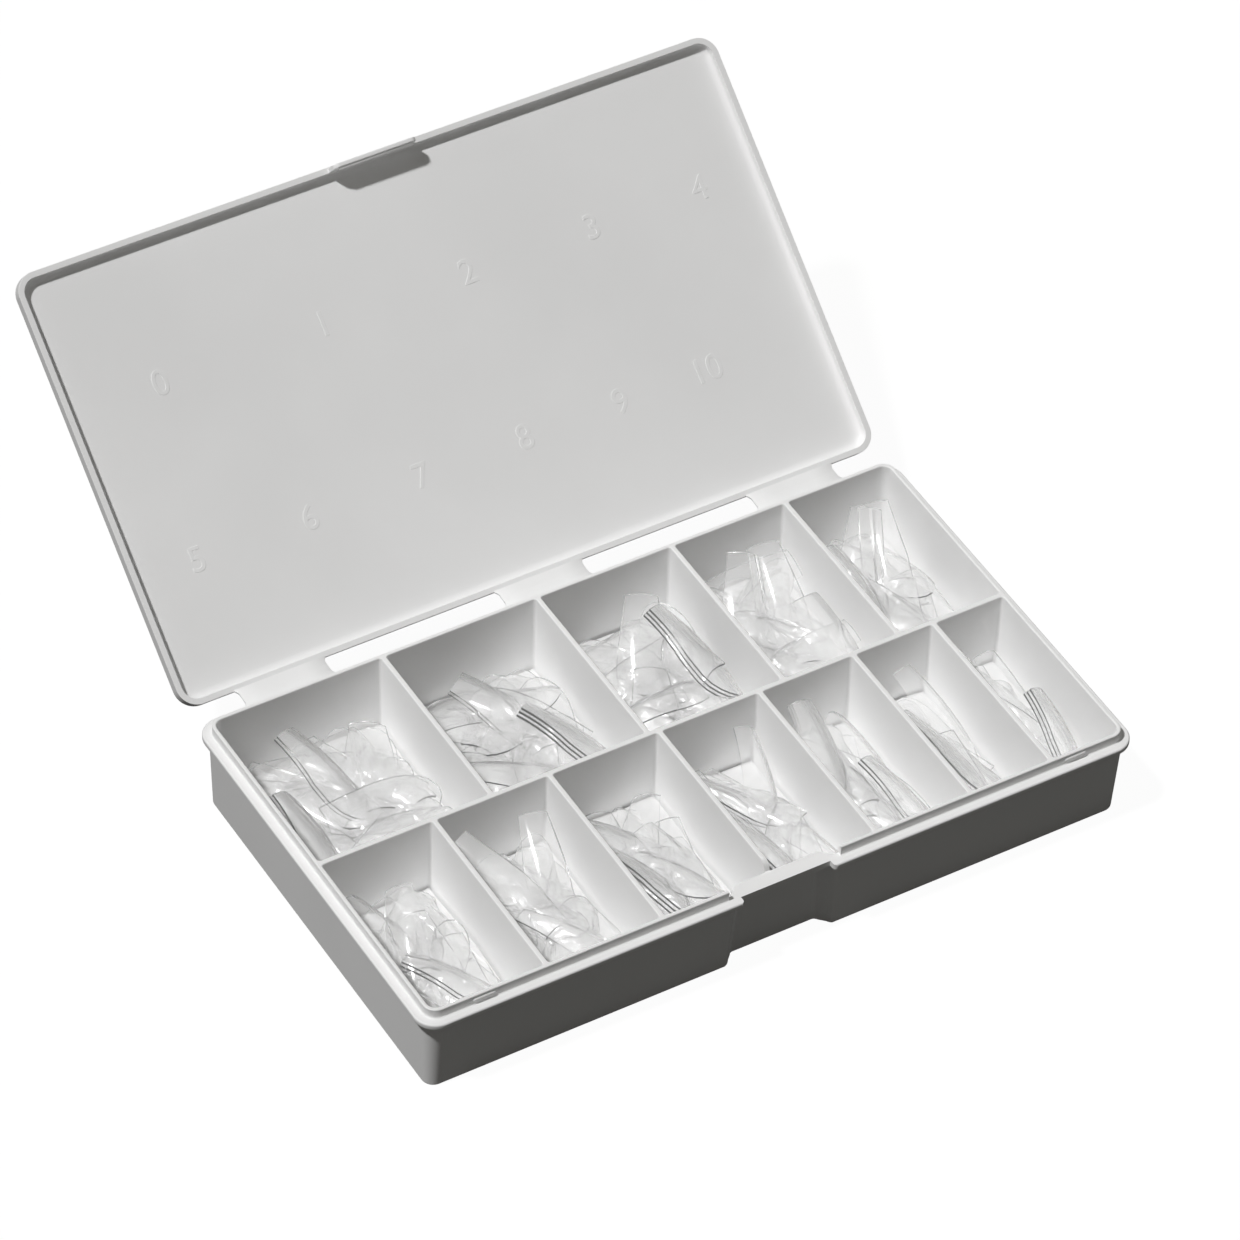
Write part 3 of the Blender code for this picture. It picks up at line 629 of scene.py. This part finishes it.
tips = {
    "length": 27 * mm, "widest": 12.5 * mm, "narrowest": 7.8 * mm,  # in the first and the last compartment
    "crown": 0.25,  # how far a tip curves from side to side, against its width
    "bow": 1.5 * mm, "thickness": 0.55 * mm, "taper": 0.36,  # how much narrower the square end is
    # from the middle towards the nail end, against half its length: where the rounding and the taper begin
    "nailStart": 0.35, "taperStart": 0.05,
    "nailEnd": 0.985,  # the rounding stops just short of a point
    "pointsAlong": 15, "pointsAcross": 7, "weld": 0.01 * mm, "sharpAngle": 50,
    "step": 0.9 * mm,  # between two tips that lie in one another
    "rise": 14.0, "roll": 25.0, "lift": 3.6 * mm, "area": 200 * mm * mm,  # for the tips just dropped in
    # for the ones at the bottom
    "flatRise": 8.0, "flatRoll": 20.0, "flatTurn": 60, "flatLift": (0.4 * mm, 2.6 * mm),
    "flatArea": 75 * mm * mm,
    "acrossStep": 0.618, "acrossSpread": 0.2,  # from one to the next, against the compartment's width
    "reachShare": 0.8,  # how much of its width has to lie inside the compartment
    "tries": 12, "headroom": 5.5 * mm, "flatSeed": 20, "bedSeed": 40,
}
# tips that lean on a wall or on others: place across and along the compartment, heading, rise and
# roll in degrees, and how many lie in one another
leaningTips = (
    ((0.5, 0.7, 108, 21, 30, 2), (0.05, 0.15, 95, 16, 45, 3), (0.85, 0.2, 165, 6, 0, 1)),
    ((0.1, 0.85, 200, 22, 5, 1), (0.6, 0.65, 125, 20, 12, 2), (0.85, 0.15, 118, 14, 45, 3)),
    ((0.55, 0.95, 62, 26, 8, 1), (0.3, 0.6, 15, 8, 15, 2), (0.95, 0.55, 105, 20, 40, 3)),
    ((0.15, 0.8, 62, 26, 15, 1), (0.65, 0.85, 78, 27, -12, 1), (0.8, 0.2, 95, 26, 10, 2)),
    ((0.45, 0.95, 55, 27, 10, 1), (0.75, 0.75, 72, 26, -20, 1), (0.15, 0.5, 95, 22, 35, 2)),
    ((0.3, 0.6, 68, 22, -35, 1), (0.9, 0.1, 125, 10, 30, 2)),
    ((0.9, 0.95, 75, 28, 0, 1), (0.3, 0.7, 115, 24, -32, 2), (0.75, 0.05, 52, 4, 10, 1)),
    ((0.5, 0.95, 128, 8, 20, 2), (0.1, 0.2, 115, 14, 45, 3), (0.95, 0.4, 105, 16, 10, 1)),
    ((0.3, 0.9, 125, 8, 30, 2), (0.95, 0.85, 75, 23, 30, 1), (0.4, 0.3, 110, 14, 40, 2)),
    ((0.35, 0.8, 84, 26, 20, 3), (0.9, 0.3, 100, 14, 35, 2)),
    ((0.2, 0.45, 105, 16, 45, 4), (0.75, 0.8, 100, 25, 5, 1)),
    ((0.3, 0.95, 95, 20, 15, 2), (0.8, 0.15, 84, 16, 40, 3)),
)


def makeTipTree():
    # one curved tip, round at the nail end and tapering to a square end, placed on every point it is given
    tree = bpy.data.node_groups.new("nailTips", "GeometryNodeTree")
    face = tree.interface
    face.new_socket("Points", in_out="INPUT", socket_type="NodeSocketGeometry")
    for name in ("Length", "Width", "Crown", "Bow", "Thickness", "Taper"):
        face.new_socket(name, in_out="INPUT", socket_type="NodeSocketFloat")
    face.new_socket("Geometry", in_out="OUTPUT", socket_type="NodeSocketGeometry")
    given = addNode(tree, "NodeGroupInput").outputs

    def calc(operation, first, second=0.0):
        node = addNode(tree, "ShaderNodeMath", {"operation": operation})
        for number, value in enumerate((first, second)):
            if isinstance(value, (int, float)):
                node.inputs[number].default_value = value
            else:
                tree.links.new(value, node.inputs[number])
        return node.outputs[0]

    # a flat grid from -1 to 1 both ways, which the sums below bend into a tip
    grid = addNode(tree, "GeometryNodeMeshGrid", values={
        "Size X": 2.0, "Size Y": 2.0, "Vertices X": tips["pointsAlong"], "Vertices Y": tips["pointsAcross"]})
    position = addNode(tree, "GeometryNodeInputPosition").outputs[0]
    place = addNode(tree, "ShaderNodeSeparateXYZ", links={0: position})
    u = calc("SINE", calc("MULTIPLY", place.outputs["X"], math.pi / 2))
    nail = calc("SUBTRACT", calc("MULTIPLY", u, -1.0), tips["nailStart"])
    nail = calc("MINIMUM", calc("DIVIDE", nail, 1 - tips["nailStart"]), tips["nailEnd"])
    nail = calc("MAXIMUM", nail, 0.0)
    roundEnd = calc("SQRT", calc("SUBTRACT", 1.0, calc("MULTIPLY", nail, nail)))
    free = calc("DIVIDE", calc("SUBTRACT", u, -tips["taperStart"]), 1 + tips["taperStart"])
    free = calc("MAXIMUM", free, 0.0)
    squareEnd = calc("SUBTRACT", 1.0, calc("MULTIPLY", free, given["Taper"]))
    v = calc("MULTIPLY", calc("MULTIPLY", roundEnd, squareEnd), place.outputs["Y"])
    x = calc("MULTIPLY", calc("MULTIPLY", u, given["Length"]), 0.5)
    y = calc("MULTIPLY", calc("MULTIPLY", v, given["Width"]), 0.5)
    crown = calc("MULTIPLY", calc("MULTIPLY", v, v), calc("MULTIPLY", given["Crown"], given["Width"]))
    z = calc("SUBTRACT", 0.0, calc("ADD", crown, calc("MULTIPLY", calc("MULTIPLY", u, u), given["Bow"])))
    put = addNode(tree, "ShaderNodeCombineXYZ", links={0: x, 1: y, 2: z})
    skin = addNode(tree, "GeometryNodeSetPosition",
                   links={"Geometry": grid.outputs["Mesh"], "Position": put.outputs[0]})
    under = addNode(tree, "GeometryNodeFlipFaces", links={0: skin.outputs[0]})
    lower = addNode(tree, "GeometryNodeExtrudeMesh", {"mode": "FACES"}, {"Individual": False},
                    {"Mesh": under.outputs[0], "Offset Scale": given["Thickness"]})
    marked = addNode(tree, "GeometryNodeStoreNamedAttribute", {"data_type": "BOOLEAN", "domain": "FACE"},
                     {"Name": "cutEdge", "Value": True},
                     {"Geometry": lower.outputs["Mesh"], "Selection": lower.outputs["Side"]})
    both = addNode(tree, "GeometryNodeJoinGeometry")
    tree.links.new(skin.outputs[0], both.inputs[0])
    tree.links.new(marked.outputs[0], both.inputs[0])
    closed = addNode(tree, "GeometryNodeMergeByDistance", values={"Distance": tips["weld"]},
                     links={0: both.outputs[0]})
    turn = addNode(tree, "GeometryNodeInputNamedAttribute", {"data_type": "FLOAT_VECTOR"}, {"Name": "turn"})
    rotation = addNode(tree, "FunctionNodeEulerToRotation", links={0: turn.outputs[0]})
    spread = addNode(tree, "GeometryNodeInstanceOnPoints", links={
        "Points": given["Points"], "Instance": closed.outputs[0], "Rotation": rotation.outputs[0]})
    real = addNode(tree, "GeometryNodeRealizeInstances", links={0: spread.outputs[0]})
    dressed = addNode(tree, "GeometryNodeSetMaterial", values={"Material": clearAbs},
                      links={"Geometry": real.outputs[0]})
    # the cut edges get the grey edge plastic, painted shade for the dark lines that refraction draws there
    edge = addNode(tree, "GeometryNodeInputNamedAttribute", {"data_type": "BOOLEAN"}, {"Name": "cutEdge"})
    edged = addNode(tree, "GeometryNodeSetMaterial", values={"Material": clearAbsPaintedEdgeShade},
                    links={"Geometry": dressed.outputs[0], "Selection": edge.outputs[0]})
    addNode(tree, "NodeGroupOutput", links={0: edged.outputs[0]})
    return tree


def tipPoint(width, u, v):
    # a point of a tip that lies flat; u and v run from -1 to 1 along and across it
    return Vector((u * tips["length"] / 2, v * width / 2, -tips["bow"] * u * u - tips["crown"] * width * v * v))


def leanTip(low, high, width, share, lift, angles):
    # a tip's turn and middle, moved until it lies wholly inside the compartment; None if it can't
    heading, rise, roll = [math.radians(angle) for angle in angles]
    turn = Matrix.Rotation(heading, 3, "Z") @ Matrix.Rotation(-rise, 3, "Y") @ Matrix.Rotation(roll, 3, "X")
    side = tips["reachShare"]
    reach = [turn @ tipPoint(width, u, v) for u in (-1, 0, 1) for v in (-side, 0, side)]
    middle = []
    for k in range(2):
        first = low[k] - min(point[k] for point in reach)
        last = high[k] - max(point[k] for point in reach)
        if first > last:
            return None
        middle.append(min(max(low[k] + (high[k] - low[k]) * share[k], first), last))
    middle.append(low[2] + lift - min(point.z for point in reach))
    if middle[2] + max(point.z for point in reach) > high[2]:
        return None
    return turn, Vector(middle)


def drawPair(chance, first, second):
    # two draws, each from minus its limit to plus its limit
    return chance.uniform(-first, first), chance.uniform(-second, second)


def countFor(low, high, area):
    # how many fit a compartment at this much floor for each
    return round((high[0] - low[0]) * (high[1] - low[1]) / area)


def scatterTips(low, high, width, leaning, chance):
    # first the tips that lean, then the ones dropped in at random
    placed = []
    for across, along, heading, rise, roll, stack in leaning:
        tip = leanTip(low, high, width, (across, along), tips["step"], (heading, rise, roll))
        if tip:
            turn, middle = tip
            placed += [(turn, middle + turn.col[2] * tips["step"] * k) for k in range(stack)]
    wanted = countFor(low, high, tips["area"])
    for attempt in range(wanted * tips["tries"]):
        share = chance.random(), chance.random()
        lift = chance.uniform(0, tips["lift"])
        rise, roll = drawPair(chance, tips["rise"], tips["roll"])
        tip = leanTip(low, high, width, share, lift, (chance.uniform(0, 360), rise, roll))
        if tip and wanted:
            placed.append(tip)
            wanted -= 1
    return placed


def layFlatTips(low, high, width, chance):
    # spread evenly, row by row, so that they cover the bed up to the walls
    placed = []
    wanted = countFor(low, high, tips["flatArea"])
    for k in range(wanted):
        across = (k * tips["acrossStep"] + chance.uniform(0, tips["acrossSpread"])) % 1
        along = (k + chance.random()) / wanted
        for attempt in range(tips["tries"]):
            rise, roll = drawPair(chance, tips["flatRise"], tips["flatRoll"])
            heading = 90 * chance.choice((1, 3)) + chance.uniform(-tips["flatTurn"], tips["flatTurn"])
            lift = chance.uniform(*tips["flatLift"])
            tip = leanTip(low, high, width, (across, along), lift, (heading, rise, roll))
            if tip:
                placed.append(tip)
                break
    return placed


def makeTips(tree, name, placed, width):
    mesh = bpy.data.meshes.new(name + "Points")
    mesh.from_pydata([middle for turn, middle in placed], [], [])
    turns = mesh.attributes.new("turn", "FLOAT_VECTOR", "POINT")
    turns.data.foreach_set("vector", [angle for turn, middle in placed for angle in turn.to_euler()])
    points = bpy.data.objects.new(name + "Points", mesh)
    scene.collection.objects.link(points)
    grow = points.modifiers.new("tips", "NODES")
    grow.node_group = tree
    values = {"Length": tips["length"], "Width": width, "Crown": tips["crown"],
              "Bow": tips["bow"], "Thickness": tips["thickness"], "Taper": tips["taper"]}
    for socket in tree.interface.items_tree:
        if socket.in_out == "INPUT" and socket.name in values:
            grow[socket.identifier] = values[socket.name]
    made = bake(points, name)
    bpy.data.objects.remove(points, do_unlink=True)
    made.data.shade_smooth()
    made.data.set_sharp_from_angle(angle=math.radians(tips["sharpAngle"]))
    return made


bed = {
    "cell": 0.5 * mm, "level": 2.4 * mm, "lowest": 0.3 * mm, "clear": 0.05 * mm, "sharpAngle": 60,
    "waves": 3, "swell": 0.6 * mm,  # it is a little higher here and lower there
    "waveLength": (22, 40),  # in millimetres
    "relief": 0.3 * mm, "area": 60 * mm * mm,  # how far its plates stand out, and the floor for each of them
    # how each plate lies and curves, against the relief
    "lift": (-0.3, 0.6), "tilt": 0.7, "roll": 0.5, "crown": 0.8, "bow": 0.3,
}


def makeBed(name, low, high, width, seed):
    # the tips that lie flat at the bottom, as one settled surface of overlapping curved plates
    chance = random.Random(seed)
    columns, rows = (round((high[k] - low[k]) / bed["cell"]) for k in range(2))
    x = np.linspace(low[0] + bed["clear"], high[0] - bed["clear"], columns + 1)
    y = np.linspace(low[1] + bed["clear"], high[1] - bed["clear"], rows + 1)
    gridX, gridY = np.meshgrid(x, y, indexing="ij")
    base = low[2] + bed["level"]
    for k in range(bed["waves"]):
        wave, phase = chance.uniform(*bed["waveLength"]) * mm, chance.uniform(0, 2 * math.pi)
        heading = chance.uniform(0, math.pi)
        along = gridX * math.cos(heading) + gridY * math.sin(heading)
        base = base + bed["swell"] / 2 * np.sin(along * 2 * math.pi / wave + phase)
    height = base - bed["relief"] / 2
    nail = tips["nailStart"]
    for k in range(countFor(low, high, bed["area"])):
        heading = chance.uniform(0, 2 * math.pi)
        offX, offY = gridX - chance.uniform(low[0], high[0]), gridY - chance.uniform(low[1], high[1])
        u = (offX * math.cos(heading) + offY * math.sin(heading)) / (tips["length"] / 2)
        v = (offY * math.cos(heading) - offX * math.sin(heading)) / (width / 2)
        tilt, roll = drawPair(chance, bed["tilt"], bed["roll"])
        rise = chance.uniform(*bed["lift"]) + tilt * u + roll * v - bed["crown"] * v * v - bed["bow"] * u * u
        roundEnd = np.sqrt(np.clip(1 - ((u + nail) / (1 - nail)) ** 2, 0, 1))
        side = np.where(u < -nail, roundEnd, 1 - tips["taper"] * np.clip(u, 0, 1))
        covered = (np.abs(u) < 1) & (np.abs(v) < side)
        height = np.where(covered, np.maximum(height, base + bed["relief"] * rise), height)
    height = np.maximum(height, low[2] + bed["lowest"])
    across = rows + 1
    verts = [(gridX[i, j], gridY[i, j], height[i, j]) for i in range(columns + 1) for j in range(across)]
    faces = [(a, a + across, a + across + 1, a + 1)
             for i in range(columns) for a in range(i * across, i * across + rows)]
    rim = [i * across for i in range(columns)] + [columns * across + j for j in range(rows)]
    rim += [i * across + rows for i in range(columns, 0, -1)] + list(range(rows, 0, -1))
    first = len(verts)
    verts += [(verts[k][0], verts[k][1], low[2]) for k in rim]
    for k in range(len(rim)):
        following = (k + 1) % len(rim)
        faces.append((first + k, first + following, rim[following], rim[k]))
    faces.append(tuple(first + k for k in reversed(range(len(rim)))))
    return meshObject(name, verts, faces, layeredAbs, bed["sharpAngle"])


def fillCompartments():
    tree = makeTipTree()
    nodes = [f"back_tips_{k}" for k in range(1, 6)] + [f"front_tips_{k}" for k in range(1, 8)]
    made = []
    for number, node in enumerate(nodes):
        low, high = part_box(node)
        high = (high.x, high.y, rimTop - tips["headroom"])
        width = tips["widest"] + (tips["narrowest"] - tips["widest"]) * number / (len(nodes) - 1)
        placed = scatterTips(low, high, width, leaningTips[number], random.Random(number))
        placed += layFlatTips(low, high, width, random.Random(tips["flatSeed"] + number))
        label = node.replace("_tips_", "Tips")
        loose = makeTips(tree, label, placed, width)
        lower = makeBed(label + "Bed", low, high, width, tips["bedSeed"] + number)
        made.append((loose, lower, node))
    return made


heaps = fillCompartments()
print("tips made", sum(len(loose.data.polygons) for loose, lower, node in heaps))


dividers = [f"back_divider_{k}" for k in range(1, 5)] + [f"front_divider_{k}" for k in range(1, 7)]
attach(trayMoulding, "tray")
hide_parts("tray_shell", "middle_wall", *dividers)
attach(snapNubs, "tray")
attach(lidMoulding, "lid")
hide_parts("lid")
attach(lidNumerals, "lid")
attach(latchTab, "lid")
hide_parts("latch_tab")
for piece, node in webs:
    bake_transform(piece)
    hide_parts(node)
for loose, lower, node in heaps:
    for piece in (loose, lower):
        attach(piece, "tray")
    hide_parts(node)
    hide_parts(node)
print("pieces ride")


studio = {
    "floorSize": 3.0, "floorColour": "#F4F4F2", "floorGlow": 0.965,
    "floorThrow": 0.06,  # how much of its colour it really throws back
    "skyLevel": 0.116, "skyColour": (1.01, 0.985, 0.92, 1),
    "mirroredLevel": 0.8, "throughLevel": 0.7, "backdropLevel": 1.0,
    "keySource": (-0.46, 0.02, 0.885), "keySpread": 4.0, "keyStrength": 2.36,
}


def makeFloor():
    # matte paper: the camera sees it pale, and it keeps the object's shadow; it throws little light back
    made, tree, output = newMaterial("palePaper")
    *colour, alpha = hexToLinear(studio["floorColour"])
    dim = (*(studio["floorThrow"] * c for c in colour), alpha)
    paper = addNode(tree, "ShaderNodeBsdfDiffuse", values={"Color": dim})
    glow = addNode(tree, "ShaderNodeEmission", values={"Color": white, "Strength": studio["floorGlow"]})
    pale = addNode(tree, "ShaderNodeAddShader", links={0: paper.outputs[0], 1: glow.outputs[0]})
    mix = mixByRay(tree, ("Is Camera Ray", "Is Transmission Ray"), paper, pale)
    tree.links.new(mix.outputs[0], output.inputs["Surface"])
    half = studio["floorSize"] / 2
    ring = [(-half, -half, 0), (half, -half, 0), (half, half, 0), (-half, half, 0)]
    floor = meshObject("floor", ring, [(0, 1, 2, 3)], made)


def makeKey():
    # one lamp high on the left, far off
    lamp = bpy.data.lights.new("key", "SUN")
    lamp.energy = studio["keyStrength"]
    lamp.angle = math.radians(studio["keySpread"])
    made = bpy.data.objects.new("key", lamp)
    made.rotation_euler = Vector(studio["keySource"]).to_track_quat("Z", "Y").to_euler()
    scene.collection.objects.link(made)


def makeWorld():
    # a dim, even sky that is bright where it is mirrored, seen through the tips or seen behind the object
    world = bpy.data.worlds.new("studio")
    scene.world = world
    world.use_nodes = True
    tree = world.node_tree
    tree.nodes.clear()
    output = addNode(tree, "ShaderNodeOutputWorld")
    sky = addNode(tree, "ShaderNodeBackground",
                  values={"Color": studio["skyColour"], "Strength": studio["skyLevel"]})
    for kind, level in (("Is Glossy Ray", "mirroredLevel"), ("Is Transmission Ray", "throughLevel"),
                        ("Is Camera Ray", "backdropLevel")):
        bright = addNode(tree, "ShaderNodeBackground", values={"Color": white, "Strength": studio[level]})
        sky = mixByRay(tree, (kind,), sky, bright)
    tree.links.new(sky.outputs[0], output.inputs["Surface"])


view = {
    "focalLength": 213.66, "sensorWidth": 36, "azimuth": -32.758, "elevation": 44.399, "roll": 3.104,
    "target": (0.00917, 0.03526, 0.02), "distance": 1.5874, "nearest": 0.05, "farthest": 20,
}


def makeCamera():
    azimuth, elevation, roll = (math.radians(view[name]) for name in ("azimuth", "elevation", "roll"))
    forward = Vector((-math.sin(azimuth) * math.cos(elevation),
                      math.cos(azimuth) * math.cos(elevation), -math.sin(elevation)))
    right = Vector((forward.y, -forward.x, 0)).normalized()
    up = right.cross(forward)
    rolledRight = right * math.cos(roll) + up * math.sin(roll)
    rolledUp = -right * math.sin(roll) + up * math.cos(roll)
    lens = bpy.data.cameras.new("camera")
    lens.sensor_width = view["sensorWidth"]
    lens.lens = view["focalLength"]
    lens.clip_start = view["nearest"]
    lens.clip_end = view["farthest"]
    camera = bpy.data.objects.new("camera", lens)
    turn = Matrix((rolledRight, rolledUp, -forward)).transposed().to_4x4()
    camera.matrix_world = Matrix.Translation(Vector(view["target"]) - forward * view["distance"]) @ turn
    scene.collection.objects.link(camera)
    scene.camera = camera


makeFloor()
makeKey()
makeWorld()
makeCamera()
scene.view_settings.view_transform = "Standard"
scene.cycles.max_bounces = 28  # light passes many thin walls of clear plastic
scene.cycles.transmission_bounces = 28
scene.cycles.transparent_max_bounces = 32
scene.cycles.diffuse_bounces = 8
print("studio made")
